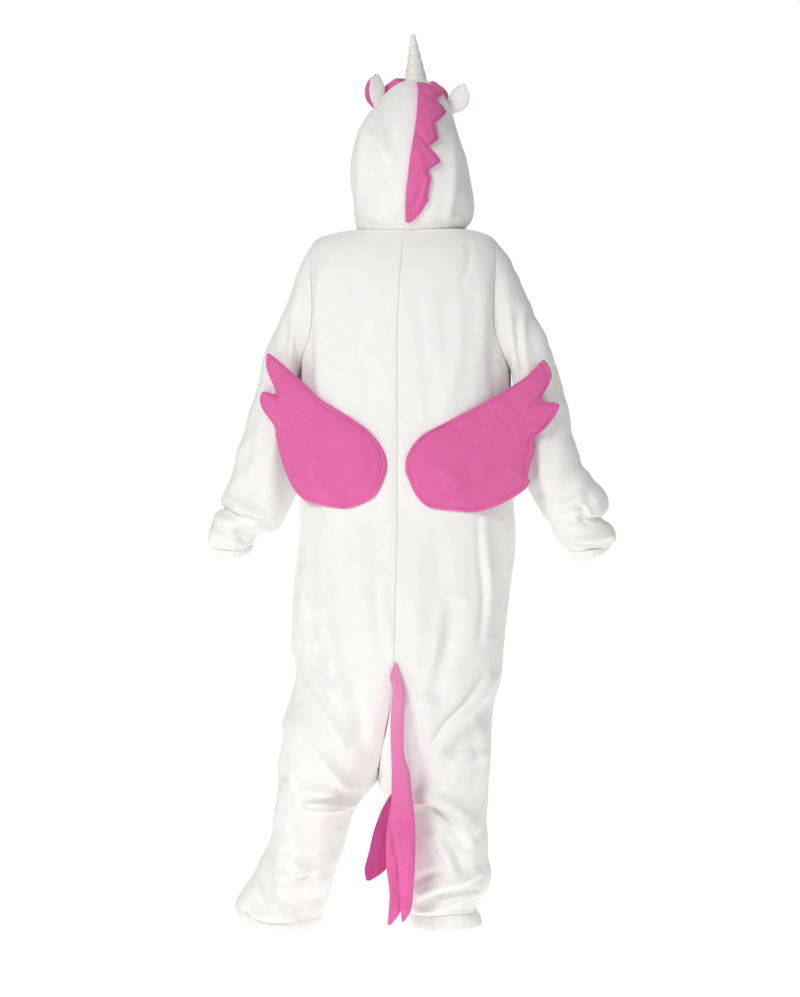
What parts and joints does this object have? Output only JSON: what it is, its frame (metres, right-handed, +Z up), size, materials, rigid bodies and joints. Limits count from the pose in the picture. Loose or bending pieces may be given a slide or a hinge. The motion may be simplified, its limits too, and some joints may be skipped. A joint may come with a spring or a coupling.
{
  "type": "unicorn onesie",
  "caption": "Hooded one-piece costume of white fleece, worn open and hollow, with a pink mane, forelock, wings and tail, two ears, a wound horn and a buttoned front.",
  "frame": {"origin": "middle of the neck base between the shoulders, where the wearer's shoulders carry the garment", "axes": "+Z up, +X the wearer's left, -Y the wearer's front"},
  "size_m": [0.804, 0.3117, 1.754],
  "materials": {
    "fleece_white": "white brushed polyester fleece with a short soft nap",
    "fleece_pink": "pink brushed polyester fleece with a short soft nap",
    "satin_white": "off-white satin, stuffed and wound with cord",
    "button": "moulded white resin button"
  },
  "bodies": {
    "root": {"back_left": "fleece_white", "back_right": "fleece_white", "front_left": "fleece_white", "front_right": "fleece_white", "ankle_band_left": "fleece_white", "ankle_band_right": "fleece_white", "sleeve_left": "fleece_white", "sleeve_right": "fleece_white", "wrist_band_left": "fleece_white", "wrist_band_right": "fleece_white", "hood_left": "fleece_white", "hood_right": "fleece_white", "mane": "fleece_pink", "forelock": "fleece_pink", "ear_left_back": "fleece_white", "ear_left_face": "fleece_pink", "ear_right_back": "fleece_white", "ear_right_face": "fleece_pink", "horn": "satin_white", "wing_left": "fleece_pink", "wing_right": "fleece_pink", "tail_long": "fleece_pink", "tail_middle": "fleece_pink", "tail_short": "fleece_pink", "placket": "fleece_white", "button_1": "button", "button_2": "button", "button_3": "button", "button_4": "button", "button_5": "button"}
  },
  "joints": []
}
